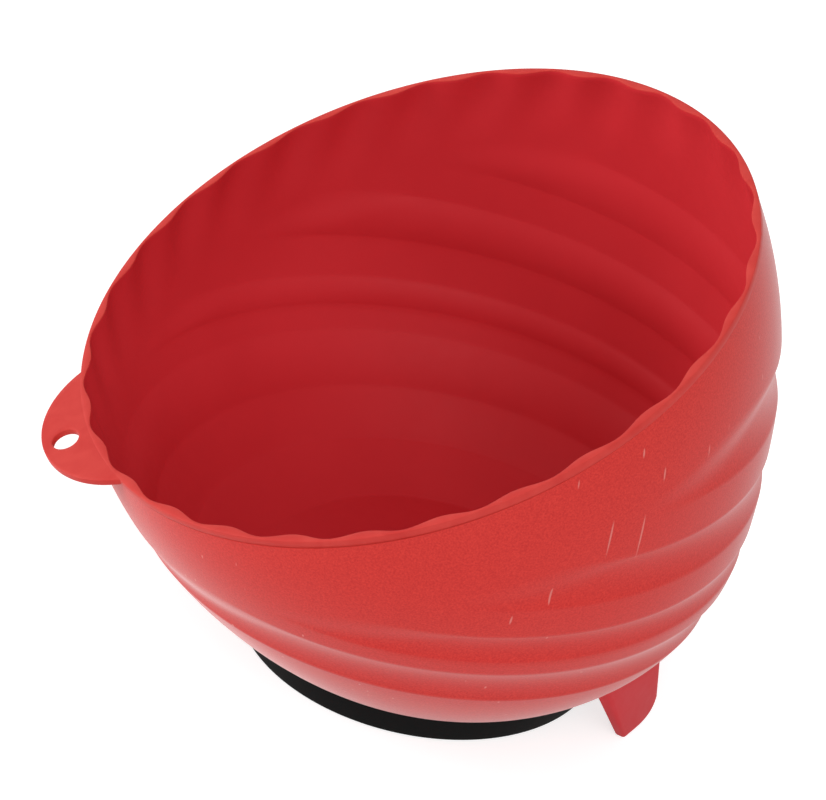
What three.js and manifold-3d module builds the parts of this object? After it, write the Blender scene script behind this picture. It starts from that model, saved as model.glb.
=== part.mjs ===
// Magnetic parts tray: a slanted red plastic bowl screwed to a round magnet base.
// Millimetres, +Z up. The origin is the centre of the base's lower face, +X points to
// the bowl's high side and -X to the low side with the hanging tab.
import * as THREE from 'three';
import { mergeVertices } from 'three/addons/utils/BufferGeometryUtils.js';
import Module from 'manifold-3d';

const wasm = await Module();
wasm.setup();

// Clearances shared by all pieces
const SEAT_GAP = 0.3;
const FIT_GAP = 0.4;
const SCREW_PLAY = 0.3;

// Magnet base
const COVER_RADIUS = 41.6;
const COVER_WALL = 2;
const COVER_SKIN = 1;
const COVER_EDGE = 0.7;
const MAGNET_HEIGHT = 4;
const MAGNET_BORE = 10;
const MAGNET_CHAMFER = 0.4;
const PLATE_HEIGHT = 1.6;

// Bowl wall: horizontal round sections whose centres lean towards the low side
const WALL = 1.8;
const FLOOR = 2.2;
const BOWL_REVEAL = 2.8;
const COVE_REACH = 6.2;
const COVE_HEIGHT = 6;
const BELLY_RADIUS = 75.8;
const BELLY_HEIGHT = 68;
const LEAN = 11.8;
const LEAN_HEIGHT = 73.5;

// Round grooves moulded in the wall, seen as ridges inside: heights and half widths
const GROOVE_HEIGHTS = [33, 47.5, 65.6, 87];
const GROOVE_HALVES = [5.6, 4.4, 5.6, 6.8];
const GROOVE_DEPTH = 1.1;
const COLLAR_HEIGHT = 19;
const COLLAR_FADE = 11;

// Slanted rim with its lip, and the flutes inside the collar below it
const RIM_RADIUS = 75;
const RIM_TILT = 28.3;
const RIM_X = -18.1;
const RIM_Z = 89.7;
const LIP_HEIGHT = 1.4;
const LIP_OVERHANG = 0.3;
const FLARE_HEIGHT = 40;
const FLUTES = 30;
const FLUTE_DEPTH = 1.25;
const FLUTE_LENGTH = 12;
const FLUTE_RUNOUT = 10;

// Hanging tab: a round ear flush with the rim, a little off its lowest point
const TAB_TURN = 2;
const TAB_RADIUS = 21.9;
const TAB_REACH = 10.2;
const TAB_HEIGHT = 1.5;
const TAB_HOLE = 5.9;
const TAB_HOLE_EDGE = 5.1;

// Two thin feet under the high side, level with the base's lower face
const FOOT_ANGLE = 52;
const FOOT_RADIUS = 54.4;
const FOOT_THICKNESS = 3;
const FOOT_LAND = 8;
const FOOT_HEEL = 3.6;
const FOOT_BULGE = 8.5;
const FOOT_FLARE = 14;
const FOOT_TOP = 21;

// Centre screw, washer and nut
const SCREW_RADIUS = 2.5;
const SCREW_TIP = 0.6;
const HEAD_RADIUS = 4.8;
const HEAD_HEIGHT = 2.8;
const SLOT_WIDTH = 1.3;
const SLOT_LENGTH = 5.4;
const SLOT_DEPTH = 1.5;
const WASHER_RADIUS = 8;
const WASHER_HEIGHT = 1.2;
const NUT_FLATS = 8;
const NUT_HEIGHT = 3.2;

// Heights of the stack, from the lower face up
const MAGNET_Z = COVER_SKIN + SEAT_GAP;
const PLATE_Z = MAGNET_Z + MAGNET_HEIGHT + SEAT_GAP;
const FLOOR_UNDER = PLATE_Z + PLATE_HEIGHT + SEAT_GAP;
const FLOOR_TOP = FLOOR_UNDER + FLOOR;
const COVER_TOP = FLOOR_UNDER - SEAT_GAP;
const WASHER_Z = FLOOR_TOP + SEAT_GAP;
const HEAD_Z = WASHER_Z + WASHER_HEIGHT + SEAT_GAP;
const NUT_Z = PLATE_Z - SEAT_GAP - NUT_HEIGHT;
const HOLE_RADIUS = SCREW_RADIUS + SCREW_PLAY;
const MAGNET_RADIUS = COVER_RADIUS - COVER_WALL - FIT_GAP;

const TILT = THREE.MathUtils.degToRad(RIM_TILT);
const RIM_CENTRE = new THREE.Vector3(RIM_X, 0, RIM_Z);
const RIM_NORMAL = new THREE.Vector3(-Math.sin(TILT), 0, Math.cos(TILT));
const RIM_TOP = RIM_Z + RIM_RADIUS * Math.sin(TILT);
const WALL_TOP = RIM_TOP + COLLAR_HEIGHT / 2;

// The wall is a half oval below the belly and another above it: the lower one starts a
// little outside the cover, the upper one ends at the rim's highest point
const BOTTOM_RADIUS = COVER_RADIUS + BOWL_REVEAL;
const FLOOR_RADIUS = BOTTOM_RADIUS - COVE_REACH;
const HIGH_REACH = RIM_X + RIM_RADIUS * Math.cos(TILT) + LEAN;
const halfOval = (height, radius) => height / Math.sqrt(1 - (radius / BELLY_RADIUS) ** 2);
const BELLY_BELOW = halfOval(BELLY_HEIGHT - FLOOR_UNDER, BOTTOM_RADIUS);
const BELLY_ABOVE = halfOval(RIM_TOP - BELLY_HEIGHT, HIGH_REACH);

const OUTSIDE_COLUMNS = 60;
const COLUMNS_PER_FLUTE = 4;
const ROW_SPACING = 9;

const smooth = (t) => THREE.MathUtils.smoothstep(t, 0, 1);

// Radius and lean of the plain wall at a height
function wallRadius(z) {
  const span = z < BELLY_HEIGHT ? BELLY_BELOW : BELLY_ABOVE;
  const t = (z - BELLY_HEIGHT) / span;
  return BELLY_RADIUS * Math.sqrt(Math.max(1 - t * t, 0.01));
}

const wallLean = (z) => -LEAN * smooth(z / LEAN_HEIGHT);

// Angle of the wall from upright, positive where it opens upwards
function wallSlope(z) {
  const step = 0.5;
  return Math.atan((wallRadius(z + step) - wallRadius(z - step)) / (2 * step));
}

// How far the wall widens at the rim to meet its circle, at an angle round the leaning axis
function rimFlare(angle) {
  const [along, across] = [Math.cos(angle), Math.sin(angle)];
  const half = RIM_RADIUS * Math.cos(TILT);
  let reach = RIM_RADIUS;
  let z = RIM_Z;
  for (let i = 0; i < 12; i += 1) {
    const offset = wallLean(z) - RIM_X;
    const a = (along / half) ** 2 + (across / RIM_RADIUS) ** 2;
    const b = (offset * along) / half ** 2;
    const c = (offset / half) ** 2 - 1;
    reach = (-b + Math.sqrt(b * b - a * c)) / a;
    z = RIM_Z + (offset + reach * along) * Math.tan(TILT);
  }
  return reach - LIP_OVERHANG - wallRadius(z);
}

// How deep the grooves are at a height, round at the bottom of each
function grooveDepth(z) {
  let deepest = 0;
  GROOVE_HEIGHTS.forEach((height, i) => {
    const t = (z - height) / GROOVE_HALVES[i];
    deepest = Math.max(deepest, GROOVE_DEPTH * (1 - t * t));
  });
  return deepest;
}

// Heights of the mesh rows: each groove's edges, flanks and middle, and plain rows between
function rowHeights(from) {
  const rows = [FLOOR_UNDER];
  const fillUpTo = (next) => {
    const last = rows[rows.length - 1];
    const count = Math.ceil((next - last) / ROW_SPACING);
    for (let k = 1; k <= count; k += 1) {
      rows.push(last + (next - last) * (k / count));
    }
  };
  GROOVE_HEIGHTS.forEach((height, i) => {
    const half = GROOVE_HALVES[i];
    fillUpTo(height - half);
    rows.push(height - half / 2, height, height + half / 2, height + half);
  });
  fillUpTo(WALL_TOP);
  return rows.filter((z) => z >= from);
}

// Distance of a point below the rim's plane
const belowRim = (point) => -point.clone().sub(RIM_CENTRE).dot(RIM_NORMAL);

// Shape a turned blank into the wall: grooves, lean and, inside, the flutes
function drape(blank, inset, fluted) {
  const position = blank.getAttribute('position');
  const point = new THREE.Vector3();
  for (let i = 0; i < position.count; i += 1) {
    point.fromBufferAttribute(position, i);
    const z = point.z;
    const radius = Math.hypot(point.x, point.y);
    const angle = Math.atan2(point.y, point.x);
    const outsideZ = z - inset * Math.sin(wallSlope(z));
    const lean = wallLean(outsideZ);
    point.x += lean;
    const depth = belowRim(point);
    const grooved = smooth((depth - COLLAR_HEIGHT) / COLLAR_FADE);
    let grown = radius + rimFlare(angle) * smooth(1 - depth / FLARE_HEIGHT);
    if (radius > FLOOR_RADIUS + FIT_GAP && z > FLOOR_UNDER) {
      grown -= grooveDepth(outsideZ) * grooved;
    }
    if (fluted) {
      const turn = FLUTES * (angle + THREE.MathUtils.degToRad(TAB_TURN));
      const wave = 0.25 - 0.5 * Math.cos(turn);
      grown -= FLUTE_DEPTH * wave * (1 - smooth((depth - FLUTE_LENGTH) / FLUTE_RUNOUT));
    }
    if (radius > 1e-6) {
      position.setXYZ(i, lean + grown * Math.cos(angle), grown * Math.sin(angle), z);
    } else {
      position.setXYZ(i, lean, 0, z);
    }
  }
  return blank;
}

// A lathe about +Z from a list of [radius, height]
function turned(profile, columns) {
  const points = profile.map(([r, z]) => new THREE.Vector2(r, z));
  return new THREE.LatheGeometry(points, columns).rotateX(Math.PI / 2);
}

// An upright cylinder standing on a height
function upright(radius, height, z, columns) {
  const geometry = new THREE.CylinderGeometry(radius, radius, height, columns);
  return geometry.rotateX(Math.PI / 2).translate(0, 0, z + height / 2);
}

function solid(geometry) {
  const bare = geometry.index ? geometry : mergeVertices(geometry);
  bare.deleteAttribute('normal');
  bare.deleteAttribute('uv');
  const merged = mergeVertices(bare, 1e-4);
  const vertProperties = new Float32Array(merged.getAttribute('position').array);
  const triVerts = new Uint32Array(merged.index.array);
  const mesh = new wasm.Mesh({ numProp: 3, vertProperties, triVerts });
  mesh.merge();
  return new wasm.Manifold(mesh);
}

function geometryOf(manifold) {
  const mesh = manifold.getMesh();
  const geometry = new THREE.BufferGeometry();
  geometry.setAttribute('position', new THREE.BufferAttribute(new Float32Array(mesh.vertProperties), 3));
  geometry.setIndex(new THREE.BufferAttribute(new Uint32Array(mesh.triVerts), 1));
  geometry.computeVertexNormals();
  return geometry;
}

// Move a piece drawn in the rim's own plane (x to the high side, z out of the bowl) into place
function onRim(geometry) {
  const matrix = new THREE.Matrix4().makeRotationY(-TILT).setPosition(RIM_CENTRE);
  return geometry.applyMatrix4(matrix);
}

// Move a piece drawn in the tab's plane (x outwards along the tab, from the rim's centre) into place
function onTab(geometry) {
  return onRim(geometry.rotateZ(Math.PI - THREE.MathUtils.degToRad(TAB_TURN)));
}

// Outline of one foot, seen from outside: u along the wall, v up
function footOutline() {
  const outline = new THREE.Shape();
  outline.moveTo(0, 0);
  outline.lineTo(FOOT_LAND, 0);
  outline.quadraticCurveTo(FOOT_LAND + FOOT_HEEL, 0, FOOT_LAND + FOOT_HEEL, FOOT_BULGE);
  outline.lineTo(FOOT_LAND + FOOT_HEEL / 2, FOOT_TOP);
  outline.lineTo(-FOOT_FLARE * FOOT_TOP / (FOOT_TOP - FOOT_BULGE / 2), FOOT_TOP);
  outline.closePath();
  return outline;
}

// A foot stands upright along the wall, its outer face at the foot radius
function foot(side) {
  const options = { depth: FOOT_THICKNESS, bevelEnabled: false, curveSegments: 8 };
  const plate = new THREE.ExtrudeGeometry(footOutline(), options);
  plate.translate(0, 0, -FOOT_THICKNESS).rotateX(Math.PI / 2).translate(0, -FOOT_RADIUS, 0);
  const manifold = solid(plate.rotateZ(Math.PI / 2 - THREE.MathUtils.degToRad(FOOT_ANGLE)));
  return side < 0 ? manifold : manifold.mirror([0, 1, 0]);
}

function bowl() {
  const outsideRows = rowHeights(FLOOR_UNDER).map((z) => [wallRadius(z), z]);
  const outsideBlank = turned([[0, FLOOR_UNDER], ...outsideRows, [0, WALL_TOP]], OUTSIDE_COLUMNS);
  const outside = solid(drape(outsideBlank, 0, false));

  // The hollow follows the wall at its thickness and meets the floor in a cove
  const insideRows = rowHeights(FLOOR_TOP + COVE_HEIGHT).map((z) => {
    const slope = wallSlope(z);
    return [wallRadius(z) - WALL * Math.cos(slope), z + WALL * Math.sin(slope)];
  });
  const [coveRadius, coveTop] = insideRows[0];
  const cove = new THREE.QuadraticBezierCurve(
    new THREE.Vector2(FLOOR_RADIUS, FLOOR_TOP),
    new THREE.Vector2((FLOOR_RADIUS + coveRadius) / 2, FLOOR_TOP),
    new THREE.Vector2(coveRadius, coveTop),
  );
  const coveRows = cove.getPoints(4).slice(0, -1).map((p) => [p.x, p.y]);
  const lidHeight = insideRows[insideRows.length - 1][1];
  const hollowProfile = [[0, FLOOR_TOP], ...coveRows, ...insideRows, [0, lidHeight]];
  const hollowBlank = turned(hollowProfile, FLUTES * COLUMNS_PER_FLUTE);
  hollowBlank.rotateZ(-THREE.MathUtils.degToRad(TAB_TURN));
  const hollow = solid(drape(hollowBlank, WALL, true));

  const lip = solid(onRim(upright(RIM_RADIUS, LIP_HEIGHT, -LIP_HEIGHT, 96)));
  const tabCentre = RIM_RADIUS + TAB_REACH - TAB_RADIUS;
  const holeCentre = RIM_RADIUS + TAB_REACH - TAB_HOLE_EDGE;
  const tab = solid(onTab(upright(TAB_RADIUS, TAB_HEIGHT, -TAB_HEIGHT, 64).translate(tabCentre, 0, 0)));
  const hangHole = solid(onTab(
    upright(TAB_HOLE / 2, 3 * TAB_HEIGHT, -2 * TAB_HEIGHT, 24).translate(holeCentre, 0, 0),
  ));
  const above = 2 * RIM_TOP;
  const slice = solid(onRim(new THREE.BoxGeometry(2 * above, 2 * above, above).translate(0, 0, above / 2)));
  const screwHole = solid(upright(HOLE_RADIUS, 2 * FLOOR_TOP, 0, 24));

  const body = outside.add(lip).add(tab).add(foot(-1)).add(foot(1));
  return geometryOf(body.subtract(slice).subtract(hollow).subtract(hangHole).subtract(screwHole));
}

// Rubber cover: a shallow cup with a rounded lower edge, open on top
function cover() {
  const inner = COVER_RADIUS - COVER_WALL;
  const edge = new THREE.Path();
  edge.absarc(COVER_RADIUS - COVER_EDGE, COVER_EDGE, COVER_EDGE, -Math.PI / 2, 0, false);
  const edgeRows = edge.getPoints(3).map((p) => [p.x, p.y]);
  return turned([
    [0, 0], ...edgeRows, [COVER_RADIUS, COVER_TOP], [inner, COVER_TOP], [inner, COVER_SKIN], [0, COVER_SKIN],
  ], 56);
}

// Ferrite ring with broken edges, standing on its own lower face
function magnet() {
  const c = MAGNET_CHAMFER;
  const [r, b, h] = [MAGNET_RADIUS, MAGNET_BORE, MAGNET_HEIGHT];
  return turned([
    [b, c], [b + c, 0], [r - c, 0], [r, c], [r, h - c], [r - c, h], [b + c, h], [b, h - c], [b, c],
  ], 44);
}

function ringPlate(radius, height, columns) {
  return turned([
    [HOLE_RADIUS, 0], [radius, 0], [radius, height], [HOLE_RADIUS, height], [HOLE_RADIUS, 0],
  ], columns);
}

// Pan-head screw, its seat at height 0, with a cross recess
function screw() {
  const length = HEAD_Z - NUT_Z;
  const dome = new THREE.QuadraticBezierCurve(
    new THREE.Vector2(HEAD_RADIUS, HEAD_HEIGHT * 0.3),
    new THREE.Vector2(HEAD_RADIUS, HEAD_HEIGHT),
    new THREE.Vector2(0, HEAD_HEIGHT),
  );
  const domeRows = dome.getPoints(5).map((p) => [p.x, p.y]);
  const blank = solid(turned([
    [0, -length], [SCREW_RADIUS - SCREW_TIP, -length], [SCREW_RADIUS, SCREW_TIP - length], [SCREW_RADIUS, 0],
    [HEAD_RADIUS, 0], ...domeRows,
  ], 28));
  const slotZ = HEAD_HEIGHT;
  const slotA = new THREE.BoxGeometry(SLOT_LENGTH, SLOT_WIDTH, 2 * SLOT_DEPTH).translate(0, 0, slotZ);
  const slotB = new THREE.BoxGeometry(SLOT_WIDTH, SLOT_LENGTH, 2 * SLOT_DEPTH).translate(0, 0, slotZ);
  return geometryOf(blank.subtract(solid(slotA)).subtract(solid(slotB)));
}

function nut() {
  const corner = NUT_FLATS / Math.sqrt(3);
  const outline = new THREE.Shape();
  for (let i = 0; i < 6; i += 1) {
    const turn = (i * Math.PI) / 3;
    const method = i ? 'lineTo' : 'moveTo';
    outline[method](corner * Math.cos(turn), corner * Math.sin(turn));
  }
  outline.closePath();
  outline.holes.push(new THREE.Path().absarc(0, 0, HOLE_RADIUS, 0, 2 * Math.PI, true));
  return new THREE.ExtrudeGeometry(outline, { depth: NUT_HEIGHT, bevelEnabled: false, curveSegments: 12 });
}

const RED_PLASTIC = { color: 0xc0272d, roughness: 0.45, metalness: 0 };
const BLACK_RUBBER = { color: 0x262626, roughness: 0.6, metalness: 0 };
const FERRITE = { color: 0x3b3b3f, roughness: 0.7, metalness: 0.2 };
const STEEL = { color: 0xb9bcc0, roughness: 0.35, metalness: 1 };

function piece(name, geometry, look, z = 0) {
  const mesh = new THREE.Mesh(geometry, new THREE.MeshStandardMaterial(look));
  mesh.name = name;
  mesh.position.z = z;
  return mesh;
}

const base = new THREE.Group();
base.add(piece('magnet_cover', cover(), BLACK_RUBBER));
base.add(piece('ring_magnet', magnet(), FERRITE, MAGNET_Z));
base.add(piece('pole_plate', ringPlate(MAGNET_RADIUS, PLATE_HEIGHT, 44), STEEL, PLATE_Z));

const fastening = new THREE.Group();
fastening.add(piece('lock_nut', nut(), STEEL, NUT_Z));
fastening.add(piece('screw_washer', ringPlate(WASHER_RADIUS, WASHER_HEIGHT, 32), STEEL, WASHER_Z));
fastening.add(piece('center_screw', screw(), STEEL, HEAD_Z));

const tray = new THREE.Group();
tray.add(piece('bowl', bowl(), RED_PLASTIC), base, fastening);

export default tray;
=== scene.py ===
# %% [markdown]
# # A magnetic parts tray
# The tray is a slanted red plastic bowl on a round black magnet base. A mechanic drops
# screws into it, and the magnet holds them. This lesson dresses the CAD solids: it loads
# them as a fixed frame, models each piece that shows again with finer detail, and gives
# every surface the finish of its real material.

# %% Load the frame
import math

import bpy
import numpy as np
from mathutils import Matrix, Vector


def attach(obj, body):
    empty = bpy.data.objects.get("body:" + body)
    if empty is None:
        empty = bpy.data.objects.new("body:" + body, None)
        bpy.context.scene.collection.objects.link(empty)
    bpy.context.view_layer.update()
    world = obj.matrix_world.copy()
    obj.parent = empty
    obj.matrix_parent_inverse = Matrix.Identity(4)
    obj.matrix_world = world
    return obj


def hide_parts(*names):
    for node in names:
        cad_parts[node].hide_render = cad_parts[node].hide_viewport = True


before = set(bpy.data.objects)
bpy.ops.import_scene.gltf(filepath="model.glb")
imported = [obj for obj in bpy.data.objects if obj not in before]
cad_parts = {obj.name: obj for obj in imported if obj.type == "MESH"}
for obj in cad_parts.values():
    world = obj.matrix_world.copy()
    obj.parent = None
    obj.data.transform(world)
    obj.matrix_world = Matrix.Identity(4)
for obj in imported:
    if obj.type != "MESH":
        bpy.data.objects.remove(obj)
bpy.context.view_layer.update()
MM = 0.001
print("CAD pieces:", ", ".join(sorted(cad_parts)))

# %% [markdown]
# ## The camera
# A long lens stands in front of the tray, a little to its left, and looks down on it. The
# picture is also turned by some degrees, so that the level base looks tilted.
# The angles could be turned by eye, but here they come from the rim's ellipse and the
# base's edge. The three directions of the camera are worked out once and become the
# columns of its matrix.

# %% Camera
PICTURE_WIDTH = 826
FOCAL_PIXELS = 3532.7
TURN = math.radians(-24.29)
RISE = math.radians(31.13)
ROLL = math.radians(11.95)
SENSOR_WIDTH, FAR_CLIP = 36, 50
STAND = (1.30, 51.35, 800.0)  # the tray's origin seen from the lens: right, down, forward

backward = Vector((math.sin(TURN) * math.cos(RISE), -math.cos(TURN) * math.cos(RISE), math.sin(RISE)))
level_right = Vector((math.cos(TURN), math.sin(TURN), 0))
level_up = backward.cross(level_right)
camera_right = math.cos(ROLL) * level_right + math.sin(ROLL) * level_up
camera_up = math.cos(ROLL) * level_up - math.sin(ROLL) * level_right
camera_place = (backward * STAND[2] + camera_up * STAND[1] - camera_right * STAND[0]) * MM

bpy.ops.object.select_all(action="DESELECT")
bpy.ops.object.camera_add()
camera = bpy.context.object
camera.name = "picture_camera"
camera.matrix_world = Matrix.Translation(camera_place) @ Matrix(
    (camera_right, camera_up, backward)
).transposed().to_4x4()
camera.data.sensor_fit = "HORIZONTAL"
camera.data.sensor_width = SENSOR_WIDTH
camera.data.lens = FOCAL_PIXELS * SENSOR_WIDTH / PICTURE_WIDTH
camera.data.clip_end = FAR_CLIP
bpy.context.scene.camera = camera
print("Lens:", round(camera.data.lens, 1), "mm, distance:", round(camera_place.length, 3), "m")

# %% [markdown]
# ## Small helpers
# Operators act on all that is selected, so one helper leaves a single object selected, and
# another one picks the faces or edges of a piece by the place of their points. Others
# apply a modifier straight after it is added, round the sharp edges, and turn the faces
# outwards. The last one makes a finished piece ride on the frame with its origin at the
# world's origin.

# %% Helpers
NEAR = 0.1  # mm: a point this close to a level counts as lying on it


def take_only(piece):
    bpy.ops.object.select_all(action="DESELECT")
    piece.select_set(True)
    bpy.context.view_layer.objects.active = piece


def apply_modifier(piece, kind, **settings):
    take_only(piece)
    modifier = piece.modifiers.new(kind.title(), kind)
    for name, value in settings.items():
        setattr(modifier, name, value)
    bpy.ops.object.modifier_apply(modifier=modifier.name)


def soften_edges(piece, width, segments, degrees, clamp=True):
    apply_modifier(
        piece, "BEVEL", width=width * MM, segments=segments, use_clamp_overlap=clamp,
        limit_method="ANGLE", angle_limit=math.radians(degrees),
    )


def pick(piece, mode, test):
    take_only(piece)
    bpy.ops.object.mode_set(mode="EDIT")
    bpy.ops.mesh.select_mode(type=mode)
    bpy.ops.mesh.select_all(action="DESELECT")
    bpy.ops.object.mode_set(mode="OBJECT")
    points = [vertex.co / MM for vertex in piece.data.vertices]
    for part in piece.data.polygons if mode == "FACE" else piece.data.edges:
        part.select = all(test(points[corner]) for corner in part.vertices)
    bpy.ops.object.mode_set(mode="EDIT")


def turn_faces_out(piece):
    take_only(piece)
    bpy.ops.object.mode_set(mode="EDIT")
    bpy.ops.mesh.select_all(action="SELECT")
    bpy.ops.mesh.normals_make_consistent(inside=False)
    bpy.ops.object.mode_set(mode="OBJECT")


def finish_piece(piece, name, smooth_degrees=35):
    take_only(piece)
    bpy.ops.object.transform_apply(location=True, rotation=True, scale=True)
    bpy.ops.object.shade_smooth_by_angle(angle=math.radians(smooth_degrees))
    piece.name = name
    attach(piece, "root")
    print(name, "has", len(piece.data.polygons), "faces")


# %% [markdown]
# ## A tube pressed into shape
# The bowl and its tab are closed sections that run round an opening. Both start as a plain
# circle that is extruded upwards, ring by ring, into a straight tube. Each ring is then
# pressed to its own place, as a mould would press it, and a bridge joins the last ring to
# the first one.

# %% Pressed tube


def pressed_tube(rings):
    count, columns = rings.shape[:2]
    bpy.ops.object.select_all(action="DESELECT")
    bpy.ops.mesh.primitive_circle_add(vertices=columns, radius=1, fill_type="NOTHING")
    piece = bpy.context.object
    bpy.ops.object.mode_set(mode="EDIT")
    bpy.ops.mesh.select_all(action="SELECT")
    for _ in rings[1:]:
        bpy.ops.mesh.extrude_region_move(TRANSFORM_OT_translate={"value": (0, 0, MM)})
    bpy.ops.object.mode_set(mode="OBJECT")

    tube = np.zeros(3 * len(piece.data.vertices))
    piece.data.vertices.foreach_get("co", tube)
    x, y, z = tube.reshape(-1, 3).T
    ring_of_point = np.rint(z / MM).astype(int)
    column_of_point = np.rint(np.arctan2(y, x) * columns / (2 * np.pi)).astype(int) % columns
    piece.data.vertices.foreach_set("co", (rings[ring_of_point, column_of_point] * MM).ravel())

    pick(piece, "EDGE", lambda point: False)
    bpy.ops.object.mode_set(mode="OBJECT")
    for edge in piece.data.edges:
        start, end = (ring_of_point[corner] for corner in edge.vertices)
        edge.select = start == end and start in (0, count - 1)
    bpy.ops.object.mode_set(mode="EDIT")
    bpy.ops.mesh.bridge_edge_loops()
    bpy.ops.object.mode_set(mode="OBJECT")
    turn_faces_out(piece)
    return piece, ring_of_point


# %% [markdown]
# ## The bowl's measures
# The bowl is one moulding. Its level sections are circles whose centres lean towards the
# low side, and a slanted plane cuts the top, so that the rim is a true circle in that
# plane. These are the sizes of the CAD part again, in millimetres, with the belly drawn in
# by a tenth so that the finer mesh stays inside the CAD part's box.

# %% Measures of the bowl
COVER_RADIUS, COVER_TOP = 41.6, 7.2
FLOOR_UNDER, FLOOR_TOP = 7.5, 9.7
WALL, HOLE_RADIUS = 1.8, 2.8
BOWL_REVEAL, COVE_WIDTH = 2.8, 6.2
BOTTOM_RADIUS = COVER_RADIUS + BOWL_REVEAL
FLOOR_RADIUS = BOTTOM_RADIUS - COVE_WIDTH
BELLY_RADIUS, BELLY_HEIGHT = 75.7, 68.0
LEAN, LEAN_HEIGHT = 11.8, 73.5
COLLAR_HEIGHT, COLLAR_FADE = 19.0, 11.0
RIM_RADIUS, RIM_TILT = 75.0, math.radians(28.3)
RIM_CENTRE = np.array([-18.1, 0.0, 89.7])
LIP_HEIGHT, LIP_OVERHANG, FLARE_HEIGHT = 1.8, 0.3, 40.0
FLUTES, FLUTE_DEPTH, FLUTE_LENGTH, FLUTE_RUNOUT = 30, 1.3, 2.0, 17.0
FLUTE_TURN, TAB_TURN = math.radians(2.4), math.radians(2)

RIM_NORMAL = np.array([-math.sin(RIM_TILT), 0.0, math.cos(RIM_TILT)])
RIM_ALONG = np.array([math.cos(RIM_TILT), 0.0, math.sin(RIM_TILT)])
RIM_ACROSS = np.array([0.0, 1.0, 0.0])
RIM_TOP = RIM_CENTRE[2] + RIM_RADIUS * math.sin(RIM_TILT)
HIGH_REACH = RIM_CENTRE[0] + RIM_RADIUS * math.cos(RIM_TILT) + LEAN
BELLY_BELOW = (BELLY_HEIGHT - FLOOR_UNDER) / math.sqrt(1 - (BOTTOM_RADIUS / BELLY_RADIUS) ** 2)
BELLY_ABOVE = (RIM_TOP - BELLY_HEIGHT) / math.sqrt(1 - (HIGH_REACH / BELLY_RADIUS) ** 2)
print("Rim's highest point:", round(RIM_TOP, 1), "mm")

# %% [markdown]
# ## The wall as a rule
# Four round grooves run level round the wall. They stiffen it, and inside they stand out
# as soft ridges, a little lower because the plastic is thick. They fade out below the rim,
# where the wall is a smooth collar. It could be sculpted, but a rule keeps every groove
# level and even, so the wall is written down as a radius and a lean for each height.

# %% The rule of the wall
# Height of the middle, half the width and depth of each groove
OUTER_GROOVES = ((34.8, 5.4, 1.25), (48.8, 4.1, 0.9), (66.1, 5.3, 1.15), (87.3, 6.7, 1.35))
INNER_RIDGES = ((30.9, 5.8, 1.0), (45.8, 3.3, 0.7), (65.2, 6.0, 1.0), (87.6, 6.6, 0.8))
SMALLEST_SQUARE = 0.01  # keeps the root real where a search tries heights far above the rim


def smooth(t):
    t = np.clip(t, 0, 1)
    return t * t * (3 - 2 * t)


def wall_radius(z):
    span = np.where(z < BELLY_HEIGHT, BELLY_BELOW, BELLY_ABOVE)
    return BELLY_RADIUS * np.sqrt(np.maximum(1 - ((z - BELLY_HEIGHT) / span) ** 2, SMALLEST_SQUARE))


def wall_lean(z):
    return -LEAN * smooth(z / LEAN_HEIGHT)


def wall_slope(z):
    return np.arctan(wall_radius(z + 0.5) - wall_radius(z - 0.5))


def groove_depth(z, grooves):
    depth = 0 * z
    for height, half, deepest in grooves:
        depth = np.maximum(depth, deepest * (1 - ((z - height) / half) ** 2))
    return depth


# %% [markdown]
# ## Columns round the rim
# The mesh has twelve columns of points for each of the thirty flutes inside the collar.
# They are spaced evenly round the rim's circle, and each column looks up how far the wall
# widens there to meet that circle. The flutes are scoops, cut into the wall's thickness.

# %% Columns and rings of points
COLUMNS = 12 * FLUTES
SEARCH_LOW, SEARCH_HIGH, HALVINGS = 15.0, 140.0, 40
turns = np.arange(COLUMNS) * 2 * np.pi / COLUMNS
spokes = np.cos(turns)[:, None] * RIM_ALONG + np.sin(turns)[:, None] * RIM_ACROSS
rim_points = RIM_CENTRE + RIM_RADIUS * spokes
rim_offset = rim_points[:, 0] - wall_lean(rim_points[:, 2])
angles = np.arctan2(rim_points[:, 1], rim_offset)
flares = np.hypot(rim_offset, rim_points[:, 1]) - LIP_OVERHANG - wall_radius(rim_points[:, 2])
scoops = FLUTE_DEPTH * (0.5 + 0.5 * np.cos(FLUTES * (turns + FLUTE_TURN)))


def below_rim(points):
    return (RIM_CENTRE - points) @ RIM_NORMAL


def round_points(radius, height, lean):
    x = lean + radius * np.cos(angles)
    return np.stack([x, radius * np.sin(angles), height + 0 * angles], axis=1)


def wall_ring(z, inset=0.0):
    slope = wall_slope(z)
    radius = wall_radius(z) - inset * np.cos(slope)
    height = z + inset * np.sin(slope)
    depth = below_rim(round_points(radius, height, wall_lean(z)))
    radius = radius + flares * smooth(1 - depth / FLARE_HEIGHT)
    grooved = groove_depth(z, INNER_RIDGES if inset else OUTER_GROOVES)
    radius = radius - grooved * smooth((depth - COLLAR_HEIGHT) / COLLAR_FADE)
    if inset:
        radius = radius + scoops * (1 - smooth((depth - FLUTE_LENGTH) / FLUTE_RUNOUT))
    return round_points(radius, height, wall_lean(z))


def heights_at(depth, inset=0.0):
    low, high = np.full(COLUMNS, SEARCH_LOW), np.full(COLUMNS, SEARCH_HIGH)
    for _ in range(HALVINGS):
        middle = (low + high) / 2
        above = below_rim(wall_ring(middle, inset)) < depth
        low, high = np.where(above, low, middle), np.where(above, middle, high)
    return low


print("Wall widens at the rim by", flares.min().round(2), "to", flares.max().round(2), "mm")

# %% [markdown]
# ## The bowl's section as a list of rings
# One section line runs all the way round the plastic: along the underside, up the outer
# wall, over the lip, down the inner wall, across the cove and the floor. Rows stay level
# where the grooves are, with more of them at a groove's edges, and close up below the
# slanted rim, so that one tube of points can take the whole shape.

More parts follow.
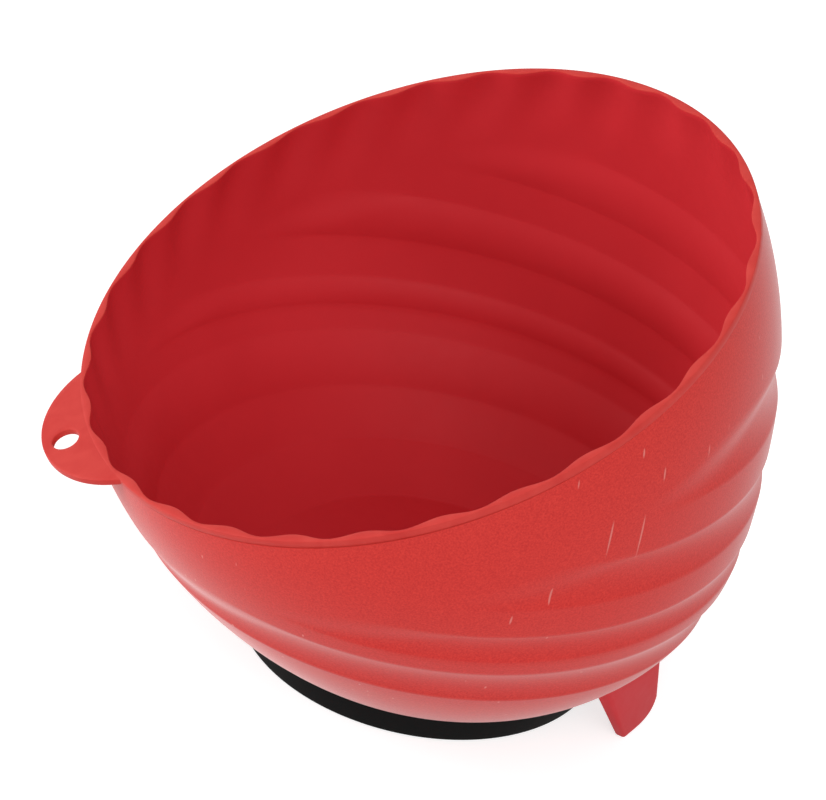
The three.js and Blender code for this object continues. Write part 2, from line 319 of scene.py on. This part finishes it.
# %% Rings of the section
ROW_SPACING, EDGE_SPACING, FIRST_ROW = 1.5, 0.5, 0.4
EDGE, EDGE_SHARE = 0.22, 0.3  # radius of a rounded edge, and how far its middle point lies in
LIP_ROUND_IN, LIP_ROUND_UP = 0.06, 0.08
UNDERSIDE_RADII = (HOLE_RADIUS, 8, 16, 24, 32, 38, 42, 43.8)
FLOOR_RADII = (37.6, 32, 24, 16, 9, HOLE_RADIUS)
COVE_TOP, COVE_SAG = 15.4, 1.0
COVE_SHARES = (0.03, 0.2, 0.4, 0.6, 0.8, 0.97, 1)


def row_heights(lowest, grooves):
    edges = [height + side * half for height, half, _ in grooves for side in (-1, 1)]
    rows = [lowest]
    while rows[-1] < RIM_TOP:
        near_edge = min(abs(rows[-1] + EDGE_SPACING / 2 - edge) for edge in edges) < 2 * EDGE_SPACING
        rows.append(rows[-1] + (EDGE_SPACING if near_edge else ROW_SPACING))
    return np.array(rows)


def closed_up(rows, tops, ring_ends):
    shares = (rows[:, None] - ring_ends) / (rows[-1] - ring_ends)
    return np.where(shares < 0, rows[:, None], ring_ends + shares * (tops - ring_ends))


def rim_ring(outward, upward):
    return RIM_CENTRE + (RIM_RADIUS + outward + 0 * turns)[:, None] * spokes + upward * RIM_NORMAL


def disc_ring(radius, height):
    return round_points(radius, height, wall_lean(height) * radius / BOTTOM_RADIUS)


ring_ends = heights_at(COLLAR_HEIGHT + COLLAR_FADE)
outer_levels = row_heights(FLOOR_UNDER + FIRST_ROW, OUTER_GROOVES)
inner_levels = row_heights(COVE_TOP, INNER_RIDGES)
outer_rows = closed_up(outer_levels, heights_at(LIP_HEIGHT), ring_ends)
inner_rows = closed_up(inner_levels, heights_at(EDGE, WALL), ring_ends)[::-1]
underside_rings = [disc_ring(radius, FLOOR_UNDER) for radius in UNDERSIDE_RADII]
outer_rings = [wall_ring(z) for z in outer_rows]
inner_rings = [wall_ring(z, WALL) for z in inner_rows]

inner_edge = np.sum((inner_rings[0] - RIM_CENTRE) * spokes, axis=1) - RIM_RADIUS
lip_rings = [
    rim_ring(-LIP_ROUND_IN, -LIP_HEIGHT),
    rim_ring(0, LIP_ROUND_UP - LIP_HEIGHT),
    rim_ring(0, -LIP_HEIGHT / 2),
    rim_ring(0, -EDGE),
    rim_ring(-EDGE_SHARE * EDGE, -EDGE_SHARE * EDGE),
    rim_ring(-EDGE, 0),
    rim_ring(inner_edge / 2, 0),
    rim_ring(inner_edge + EDGE, 0),
    rim_ring(inner_edge + EDGE_SHARE * EDGE, -EDGE_SHARE * EDGE),
]

cove_top, cove_edge = inner_rings[-1], disc_ring(FLOOR_RADIUS, FLOOR_TOP)
cove_rings = [
    cove_top + (cove_edge - cove_top) * t - np.array([0, 0, COVE_SAG * t * (1 - t)]) for t in COVE_SHARES
]
floor_rings = [disc_ring(radius, FLOOR_TOP) for radius in FLOOR_RADII]
rings = np.array([*underside_rings, *outer_rings, *lip_rings, *inner_rings, *cove_rings, *floor_rings])
print("The section has", len(rings), "rings of", COLUMNS, "points")

# %% [markdown]
# ## Making the bowl
# The rings go round the screw hole, so the bridge closes the hole's wall. The outer wall,
# the lip and the inside come from different faces of the mould, and each face of the mesh
# notes which finish it takes.

# %% Bowl
GRAINED, RIM_SIDE, SATIN = 0, 1, 2
bowl, ring_of_point = pressed_tube(rings)
lip_start = len(underside_rings) + len(outer_rings)
lip_end = lip_start + len(lip_rings)
for face in bowl.data.polygons:
    highest = max(ring_of_point[corner] for corner in face.vertices)
    lowest = min(ring_of_point[corner] for corner in face.vertices)
    if lowest == 0 and highest > 1 or highest > lip_end:
        face.material_index = SATIN
    else:
        face.material_index = RIM_SIDE if highest >= lip_start else GRAINED
finish_piece(bowl, "tray_bowl", smooth_degrees=40)
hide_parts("bowl")

# %% [markdown]
# ## The hanging tab
# A round ear on the low side, flush with the rim, has a hole for a nail. Its outline is an
# arc of its own and, hidden in the lip, an arc of the rim. Seen from the hole, each point of
# the outline lies in another direction, so the tab is a tube too: its rings spread from the
# hole's edge to the outline, over the upper face, and come back below.

# %% Outline of the tab
TAB_RADIUS, TAB_REACH, TAB_HEIGHT = 21.9, 10.2, 1.5
TAB_HOLE, TAB_HOLE_EDGE = 5.9, 5.1
TAB_SEAT, TAB_SINK = 0.6, 0.05
EAR_POINTS, ROOT_POINTS, FACE_RINGS = 160, 80, 6
tab_end = RIM_RADIUS + TAB_REACH
tab_middle = tab_end - TAB_RADIUS
hole_middle = np.array([tab_end - TAB_HOLE_EDGE, 0])
seat = RIM_RADIUS - TAB_SEAT
seat_turn = math.acos((seat ** 2 + tab_middle ** 2 - TAB_RADIUS ** 2) / (2 * seat * tab_middle))
ear_turn = math.atan2(seat * math.sin(seat_turn), seat * math.cos(seat_turn) - tab_middle)
ear = np.linspace(-ear_turn, ear_turn, EAR_POINTS)
root = np.linspace(seat_turn, -seat_turn, ROOT_POINTS + 2)[1:-1]
outline = np.concatenate([
    np.stack([tab_middle + TAB_RADIUS * np.cos(ear), TAB_RADIUS * np.sin(ear)], axis=1),
    np.stack([seat * np.cos(root), seat * np.sin(root)], axis=1),
])
bearings = outline - hole_middle
bearings = bearings / np.linalg.norm(bearings, axis=1, keepdims=True)
hole_edge = hole_middle + bearings * TAB_HOLE / 2
print("The tab reaches", tab_end, "mm from the rim's middle")

# %% Hanging tab


def tab_ring(share, margin, height):
    flat = hole_edge + (outline - hole_edge) * share + bearings * margin
    return np.column_stack([flat, np.full(len(flat), height - TAB_SINK)])


soft = ((0, 1), (EDGE_SHARE, EDGE_SHARE), (1, 0))
spread = np.linspace(0, 1, FACE_RINGS + 2)[1:-1]
tab_rings = [tab_ring(0, side * EDGE, -down * EDGE) for side, down in soft]
tab_rings += [tab_ring(share, 0, 0) for share in spread]
tab_rings += [tab_ring(1, -side * EDGE, -down * EDGE) for side, down in soft[::-1]]
tab_rings += [tab_ring(1, -side * EDGE, down * EDGE - TAB_HEIGHT) for side, down in soft]
tab_rings += [tab_ring(share, 0, -TAB_HEIGHT) for share in spread[::-1]]
tab_rings += [tab_ring(0, side * EDGE, down * EDGE - TAB_HEIGHT) for side, down in soft[::-1]]
tab, _ = pressed_tube(np.array(tab_rings))
to_rim = Matrix.Translation(Vector(RIM_CENTRE) * MM) @ Matrix.Rotation(-RIM_TILT, 4, "Y")
tab.matrix_world = to_rim @ Matrix.Rotation(math.pi - TAB_TURN, 4, "Z")
finish_piece(tab, "hanging_tab")

# %% [markdown]
# ## The feet
# Two thin plates under the high side keep the bowl from tipping over. Only one shows in
# the picture, and the second one mirrors it. A circle gives the outline's points, which
# are set on the plate's short land, round heel, back and slanted front. The face is extruded
# to its thickness, the top is brought down to end inside the bowl's wall, and the edges are
# rounded.

# %% Feet
FOOT_ANGLE = math.radians(52)
FOOT_RADIUS, FOOT_THICKNESS, FOOT_EDGE, FOOT_SINK = 55.5, 2.7, 0.8, 0.9
FOOT_TOE, FOOT_LAND, FOOT_HEEL, FOOT_BULGE, FOOT_TOP = -0.2, 4.7, 12.4, 5.6, 21.0
FRONT_SLANT, BACK_SLANT = 0.725, 0.31
HEEL_POINTS, BACK_POINTS, TOP_POINTS = 12, 4, 10
HIGHEST_JOIN = 40.0


def shares(count):
    return np.arange(1, count + 1) / count


def wall_above(x, y):
    low, high = FLOOR_UNDER, HIGHEST_JOIN
    for _ in range(HALVINGS):
        z = (low + high) / 2
        inside = math.hypot(x - wall_lean(z), y) < wall_radius(z)
        low, high = (low, z) if inside else (z, high)
    return low


rise = FOOT_TOP - FOOT_BULGE
top_back, top_front = FOOT_HEEL - BACK_SLANT * rise, FOOT_TOE - FRONT_SLANT * FOOT_TOP
foot_heel = [
    (FOOT_LAND + (FOOT_HEEL - FOOT_LAND) * (2 * t - t * t), FOOT_BULGE * t * t)
    for t in np.linspace(0, 1, HEEL_POINTS)
]
foot_back = [(FOOT_HEEL - BACK_SLANT * rise * t, FOOT_BULGE + rise * t) for t in shares(BACK_POINTS)]
foot_top = [(top_back + (top_front - top_back) * t, FOOT_TOP) for t in shares(TOP_POINTS)]
foot_outline = [(FOOT_TOE, 0.0), *foot_heel, *foot_back, *foot_top]


def make_foot(side, name):
    bpy.ops.object.select_all(action="DESELECT")
    bpy.ops.mesh.primitive_circle_add(vertices=len(foot_outline), fill_type="NGON")
    foot = bpy.context.object
    for vertex, (u, v) in zip(foot.data.vertices, foot_outline):
        vertex.co = (u * MM, -FOOT_RADIUS * MM, v * MM)
    bpy.ops.object.mode_set(mode="EDIT")
    bpy.ops.mesh.select_all(action="SELECT")
    bpy.ops.mesh.extrude_region_move(TRANSFORM_OT_translate={"value": (0, FOOT_THICKNESS * MM, 0)})
    bpy.ops.object.mode_set(mode="OBJECT")
    turn_faces_out(foot)
    foot.matrix_world = Matrix.Rotation(math.pi / 2 - FOOT_ANGLE, 4, "Z")
    take_only(foot)
    bpy.ops.object.transform_apply(rotation=True)
    for vertex in foot.data.vertices:
        ceiling = wall_above(vertex.co.x / MM, vertex.co.y / MM) + FOOT_SINK
        vertex.co.z = min(vertex.co.z, ceiling * MM)
    soften_edges(foot, FOOT_EDGE, segments=4, degrees=40, clamp=False)
    if side > 0:
        foot.scale.y = -1
        bpy.ops.object.transform_apply(scale=True)
        turn_faces_out(foot)
    finish_piece(foot, name)
    return foot


near_foot = make_foot(-1, "near_foot")
far_foot = make_foot(1, "far_foot")

# %% [markdown]
# ## The magnet's cover
# A shallow rubber cup hides the magnet and keeps the tray from scratching paint. It starts
# as a cylinder: the top is inset by the wall and pushed down to the skin, and the lower
# edge is bevelled round.

# %% Discs and cutters


def flat_disc(radius, depth, top, corners):
    bpy.ops.object.select_all(action="DESELECT")
    bpy.ops.mesh.primitive_cylinder_add(
        vertices=corners, radius=radius * MM, depth=depth * MM, location=(0, 0, (top - depth / 2) * MM)
    )
    return bpy.context.object


def cut_away(piece, cutter):
    apply_modifier(piece, "BOOLEAN", operation="DIFFERENCE", object=cutter, solver="EXACT")
    bpy.data.objects.remove(cutter)


# %% Magnet cover
COVER_WALL, COVER_SKIN, COVER_EDGE, COVER_SOFT = 2.0, 1.0, 0.7, 0.25
cover = flat_disc(COVER_RADIUS, COVER_TOP, COVER_TOP, corners=256)
take_only(cover)
bpy.ops.object.transform_apply(location=True)
pick(cover, "FACE", lambda point: point.z > COVER_TOP - NEAR)
bpy.ops.mesh.inset(thickness=COVER_WALL * MM)
bpy.ops.mesh.extrude_region_move(TRANSFORM_OT_translate={"value": (0, 0, (COVER_SKIN - COVER_TOP) * MM)})
bpy.ops.object.mode_set(mode="OBJECT")
pick(cover, "EDGE", lambda point: point.z < NEAR)
bpy.ops.mesh.bevel(offset=COVER_EDGE * MM, segments=6, affect="EDGES")
bpy.ops.object.mode_set(mode="OBJECT")
soften_edges(cover, COVER_SOFT, segments=2, degrees=60)
finish_piece(cover, "rubber_cover")
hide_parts("magnet_cover")

# %% [markdown]
# ## Washer and screw
# A pan-head screw and a washer hold the bowl on the base. Both are turned parts. The
# washer is a disc with a drilled hole. The screw's head is a cylinder with a wide round
# bevel, its shank is pulled out of the underside, and two bars cut the cross recess.

# %% Washer
WASHER_RADIUS, WASHER_Z, WASHER_HEIGHT, WASHER_SOFT = 8.0, 10.0, 1.2, 0.2
DRILL_LENGTH = 6.0
washer = flat_disc(WASHER_RADIUS, WASHER_HEIGHT, WASHER_Z + WASHER_HEIGHT, corners=128)
cut_away(washer, flat_disc(HOLE_RADIUS, DRILL_LENGTH, WASHER_Z + DRILL_LENGTH / 2, corners=64))
soften_edges(washer, WASHER_SOFT, segments=3, degrees=40)
finish_piece(washer, "floor_washer")
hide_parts("screw_washer")

# %% Screw
HEAD_RADIUS, HEAD_Z, HEAD_HEIGHT, HEAD_ROUND = 4.8, 11.5, 2.8, 1.9
SCREW_RADIUS, SCREW_END, SCREW_SOFT = 2.5, 2.1, 0.12
SLOT_WIDTH, SLOT_LENGTH, SLOT_DEPTH = 1.3, 5.4, 1.5
screw = flat_disc(HEAD_RADIUS, HEAD_HEIGHT, HEAD_Z + HEAD_HEIGHT, corners=96)
take_only(screw)
bpy.ops.object.transform_apply(location=True)
pick(screw, "FACE", lambda point: point.z < HEAD_Z + NEAR)
bpy.ops.mesh.inset(thickness=(HEAD_RADIUS - SCREW_RADIUS) * MM)
bpy.ops.mesh.extrude_region_move(TRANSFORM_OT_translate={"value": (0, 0, (SCREW_END - HEAD_Z) * MM)})
bpy.ops.object.mode_set(mode="OBJECT")
pick(screw, "EDGE", lambda point: point.z > HEAD_Z + HEAD_HEIGHT - NEAR)
bpy.ops.mesh.bevel(offset=HEAD_ROUND * MM, segments=8, affect="EDGES")
bpy.ops.object.mode_set(mode="OBJECT")
for size in ((SLOT_LENGTH, SLOT_WIDTH), (SLOT_WIDTH, SLOT_LENGTH)):
    bpy.ops.object.select_all(action="DESELECT")
    bpy.ops.mesh.primitive_cube_add(size=MM, location=(0, 0, (HEAD_Z + HEAD_HEIGHT) * MM))
    bar = bpy.context.object
    bar.scale = (*size, 2 * SLOT_DEPTH)
    bpy.ops.object.transform_apply(location=True, scale=True)
    cut_away(screw, bar)
soften_edges(screw, SCREW_SOFT, segments=2, degrees=50)
finish_piece(screw, "centre_screw")
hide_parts("center_screw")

# %% [markdown]
# ## Tools for the finishes
# Colours are picked as sRGB hex values and turned to the linear light that shaders use.
# One small function adds a node, sets its properties and sockets, and links it to others.
# The rest are steps that come back in most finishes: a noise of a given size in millimetres,
# a colour that follows it, a gloss that follows it, and fine dents.

# %% Colour and node tools


def colour(text):
    channels = [int(text[i:i + 2], 16) / 255 for i in (1, 3, 5)]
    linear = [c / 12.92 if c <= 0.04045 else ((c + 0.055) / 1.055) ** 2.4 for c in channels]
    return (*linear, 1.0)


def add_node(tree, kind, sockets=None, links=None, **settings):
    node = tree.nodes.new(kind)
    for name, value in settings.items():
        setattr(node, name, value)
    for name, value in (sockets or {}).items():
        node.inputs[name].default_value = value
    for name, source in (links or {}).items():
        tree.links.new(source, node.inputs[name])
    return node


def new_finish(name):
    finish = bpy.data.materials.new(name)
    finish.use_nodes = True
    tree = finish.node_tree
    return finish, tree, tree.nodes["Principled BSDF"]


def noise(tree, size, detail, **more):
    place = add_node(tree, "ShaderNodeTexCoord")
    pattern = add_node(
        tree, "ShaderNodeTexNoise", {"Scale": 1 / (size * MM), "Detail": detail, **more},
        {"Vector": place.outputs["Object"]},
    )
    return pattern.outputs["Fac"]


def tint(tree, source, low, high):
    ramp = add_node(tree, "ShaderNodeValToRGB", links={"Fac": source})
    for element, (place, text) in zip(ramp.color_ramp.elements, (low, high)):
        element.position = place
        element.color = colour(text)
    return ramp.outputs["Color"]


def vary_gloss(tree, shader, source, low, high):
    gloss = add_node(tree, "ShaderNodeMapRange", {"To Min": low, "To Max": high}, {"Value": source})
    tree.links.new(gloss.outputs["Result"], shader.inputs["Roughness"])


def add_dents(tree, shader, source, strength, depth):
    dents = add_node(
        tree, "ShaderNodeBump", {"Strength": strength, "Distance": depth * MM}, {"Height": source}
    )
    tree.links.new(dents.outputs["Normal"], shader.inputs["Normal"])


# %% [markdown]
# ## Grained red polypropylene
# The outside was moulded against a spark-eroded tool, which leaves a fine, even, matte
# grain. The grain scatters light, so the red looks paler there, most of all at the edges.
# Its dents are about a tenth of a millimetre, too fine for the picture, so they are drawn at
# 0.4 mm. Use has left a few short pale scratches, about 0.4 mm wide, that run up the wall.

# %% Finish of the outside
GRAIN, GRAIN_DEPTH = 0.4, 0.06
SCRATCH_APART, SCRATCH_LENGTH = 3.5, 85.0
POLYPROPYLENE_IOR = 1.49
MIX_BELOW, MIX_ABOVE, MIX_RESULT = 6, 7, 2  # the colour sockets of a Mix node
grained_red, tree, shader = new_finish("grained_red_polypropylene")
grain = noise(tree, GRAIN, 2.0, Roughness=0.6)
grain_colour = tint(tree, grain, (0.3, "#B92623"), (0.7, "#CE362F"))
place = add_node(tree, "ShaderNodeTexCoord")
cell_sizes = (SCRATCH_APART, SCRATCH_APART, SCRATCH_LENGTH)
stretched = add_node(
    tree, "ShaderNodeMapping", {"Scale": [1 / (size * MM) for size in cell_sizes]},
    {"Vector": place.outputs["Object"]},
)
cells = add_node(tree, "ShaderNodeTexVoronoi", {"Scale": 1.0}, {"Vector": stretched.outputs["Vector"]})
scratches = add_node(
    tree, "ShaderNodeMapRange", {"From Min": 0.08, "From Max": 0.045, "To Max": 0.33},
    {"Value": cells.outputs["Distance"]},
)
outside_colour = add_node(
    tree, "ShaderNodeMix", {MIX_ABOVE: colour("#E8B0A6")},
    {"Factor": scratches.outputs["Result"], MIX_BELOW: grain_colour}, data_type="RGBA",
)
tree.links.new(outside_colour.outputs[MIX_RESULT], shader.inputs["Base Color"])
add_dents(tree, shader, grain, 0.6, GRAIN_DEPTH)
shader.inputs["Roughness"].default_value = 0.47
shader.inputs["IOR"].default_value = POLYPROPYLENE_IOR
shader.inputs["Specular IOR Level"].default_value = 0.2
shader.inputs["Sheen Weight"].default_value = 0.4
shader.inputs["Sheen Roughness"].default_value = 0.3
print("Made", grained_red.name)

# %% [markdown]
# ## Rubbed red polypropylene
# The rim and the tab are the faces that hands and tools touch most. They have the same
# red, rubbed smoother, with faint long streaks. The streaks are drawn about 6 mm apart.

# %% Finish of the rim
STREAK = 6.0
rubbed_red, tree, shader = new_finish("rubbed_red_polypropylene")
streaks = noise(tree, STREAK, 4.0, Distortion=0.6)
streak_colour = tint(tree, streaks, (0.3, "#BF3430"), (0.7, "#C8403A"))
tree.links.new(streak_colour, shader.inputs["Base Color"])
vary_gloss(tree, shader, streaks, 0.38, 0.54)
shader.inputs["IOR"].default_value = POLYPROPYLENE_IOR
shader.inputs["Specular IOR Level"].default_value = 0.12
print("Made", rubbed_red.name)

# %% [markdown]
# ## Satin red polypropylene
# The inside and the feet came from smoother faces of the mould. They have a soft satin gloss
# with a faint orange peel, about 2.4 mm from dent to dent, and a deeper red that changes a
# little every 40 mm, where the plastic flowed into the mould.

# %% Finish of the inside
FLOW, PEEL, PEEL_DEPTH = 40.0, 2.4, 0.05
satin_red, tree, shader = new_finish("satin_red_polypropylene")
flow_colour = tint(tree, noise(tree, FLOW, 3.0), (0.3, "#C12930"), (0.7, "#C92F36"))
tree.links.new(flow_colour, shader.inputs["Base Color"])
peel = noise(tree, PEEL, 2.0)
vary_gloss(tree, shader, peel, 0.5, 0.64)
add_dents(tree, shader, peel, 0.15, PEEL_DEPTH)
shader.inputs["IOR"].default_value = POLYPROPYLENE_IOR
shader.inputs["Specular IOR Level"].default_value = 0.15
print("Made", satin_red.name)

# %% [markdown]
# ## Black rubber
# The cover is a soft black rubber, dull and nearly black, with a fine grain, drawn at 0.8 mm,
# and a few specks of dust that it picks up, about 6 mm apart.

# %% Finish of the cover
PORES, PORE_DEPTH, DUST_APART = 0.8, 0.06, 6.0
RUBBER_IOR = 1.52
black_rubber, tree, shader = new_finish("moulded_black_rubber")
place = add_node(tree, "ShaderNodeTexCoord")
dust = add_node(
    tree, "ShaderNodeTexVoronoi", {"Scale": 1 / (DUST_APART * MM)}, {"Vector": place.outputs["Object"]}
)
dust_colour = tint(tree, dust.outputs["Distance"], (0.03, "#2A2A29"), (0.06, "#0C0C0C"))
tree.links.new(dust_colour, shader.inputs["Base Color"])
pores = noise(tree, PORES, 3.0)
vary_gloss(tree, shader, pores, 0.5, 0.66)
add_dents(tree, shader, pores, 0.3, PORE_DEPTH)
shader.inputs["IOR"].default_value = RUBBER_IOR
shader.inputs["Specular IOR Level"].default_value = 0.08
print("Made", black_rubber.name)

# %% [markdown]
# ## Zinc-plated steel and ferrite
# The screw, the washer, the nut and the pole plate are bright zinc on steel, with a faint
# mottle from the bath. The ring magnet is sintered ferrite: a dark, matte ceramic with a
# grain that is drawn at 0.5 mm.

# %% Finishes of the metal pieces
MOTTLE = 2.5
SINTER, SINTER_DEPTH = 0.5, 0.05
zinc_steel, tree, shader = new_finish("zinc_plated_steel")
mottle = noise(tree, MOTTLE, 4.0)
mottle_colour = tint(tree, mottle, (0.3, "#AEB1B4"), (0.7, "#C6C8CA"))
tree.links.new(mottle_colour, shader.inputs["Base Color"])
vary_gloss(tree, shader, mottle, 0.24, 0.4)
shader.inputs["Metallic"].default_value = 1.0

ferrite, tree, shader = new_finish("sintered_ferrite")
sinter = noise(tree, SINTER, 4.0)
sinter_colour = tint(tree, sinter, (0.3, "#2C2C30"), (0.7, "#3D3D42"))
tree.links.new(sinter_colour, shader.inputs["Base Color"])
add_dents(tree, shader, sinter, 0.4, SINTER_DEPTH)
shader.inputs["Roughness"].default_value = 0.7
print("Made", zinc_steel.name, "and", ferrite.name)

# %% [markdown]
# ## Dressing the pieces
# The bowl takes three finishes: grained for its outer wall, rubbed for the rim and satin for
# the inside. The hidden CAD solids inside the base keep their shape and get their real
# material.

# %% Give each piece its finish
for finish in (grained_red, rubbed_red, satin_red):
    bowl.data.materials.append(finish)
for piece, finish in (
    (tab, rubbed_red), (near_foot, satin_red), (far_foot, satin_red),
    (cover, black_rubber), (washer, zinc_steel), (screw, zinc_steel),
):
    piece.data.materials.clear()
    piece.data.materials.append(finish)
for node, finish in (("ring_magnet", ferrite), ("pole_plate", zinc_steel), ("lock_nut", zinc_steel)):
    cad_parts[node].data.materials.clear()
    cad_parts[node].data.materials.append(finish)
print("Finishes:", ", ".join(m.name for m in bpy.data.materials if m.users))

# %% [markdown]
# ## Floor and light
# The tray stands on a white sheet in soft, even studio light. The key is a large soft box in
# front, a second one stands behind on the left, and the white surroundings fill the rest.
# For the camera, and in reflections, the sheet glows a little, so that it reads as white
# paper and keeps only a faint shadow.

# %% Floor
SHEET_SIZE, SHEET_DROP = 8, 0.2


def seen_rays(tree):
    ray = add_node(tree, "ShaderNodeLightPath")
    seen = ray.outputs["Is Camera Ray"]
    for kind in ("Is Glossy Ray", "Is Transmission Ray"):
        either = add_node(tree, "ShaderNodeMath", links={0: seen, 1: ray.outputs[kind]}, operation="MAXIMUM")
        seen = either.outputs[0]
    return seen


bpy.ops.object.select_all(action="DESELECT")
bpy.ops.mesh.primitive_plane_add(size=SHEET_SIZE, location=(0, 0, -SHEET_DROP * MM))
floor = bpy.context.object
floor.name = "paper_sheet"
paper, tree, shader = new_finish("white_paper")
tree.nodes.remove(shader)
sheet = add_node(tree, "ShaderNodeBsdfDiffuse", {"Color": (0.85, 0.85, 0.85, 1)})
shadow_sheet = add_node(tree, "ShaderNodeBsdfDiffuse", {"Color": (0.6, 0.6, 0.6, 1)})
glow = add_node(tree, "ShaderNodeEmission", {"Color": (1, 1, 1, 1), "Strength": 0.7})
seen_sheet = add_node(tree, "ShaderNodeAddShader", links={0: shadow_sheet.outputs[0], 1: glow.outputs[0]})
paper_mix = add_node(
    tree, "ShaderNodeMixShader", links={0: seen_rays(tree), 1: sheet.outputs[0], 2: seen_sheet.outputs[0]}
)
tree.links.new(paper_mix.outputs[0], tree.nodes["Material Output"].inputs["Surface"])
floor.data.materials.append(paper)
print("Floor at", round(floor.location.z / MM, 2), "mm")

# %% Light
FILL, WHITE = 0.6, 1.0
AIM = Vector((0, 0, 0.06))


def soft_box(name, place, size, energy):
    bpy.ops.object.select_all(action="DESELECT")
    bpy.ops.object.light_add(type="AREA", location=place)
    lamp = bpy.context.object
    lamp.name = name
    lamp.data.size = size
    lamp.data.energy = energy
    lamp.rotation_euler = (AIM - Vector(place)).to_track_quat("-Z", "Y").to_euler()


world = bpy.data.worlds.new("studio")
bpy.context.scene.world = world
world.use_nodes = True
tree = world.node_tree
background = tree.nodes["Background"]
background.inputs["Color"].default_value = (1, 1, 1, 1)
strength = add_node(
    tree, "ShaderNodeMapRange", {"To Min": FILL, "To Max": WHITE}, {"Value": seen_rays(tree)}
)
tree.links.new(strength.outputs["Result"], background.inputs["Strength"])
soft_box("key_soft_box", place=(-0.3, -1.3, 0.85), size=1.0, energy=10)
soft_box("side_soft_box", place=(-1.1, 0.55, 0.35), size=0.7, energy=10)

# %% [markdown]
# ## Last step
# The picture is shown with plain colours, without a film look.

# %% Finish
bpy.context.scene.view_settings.view_transform = "Standard"
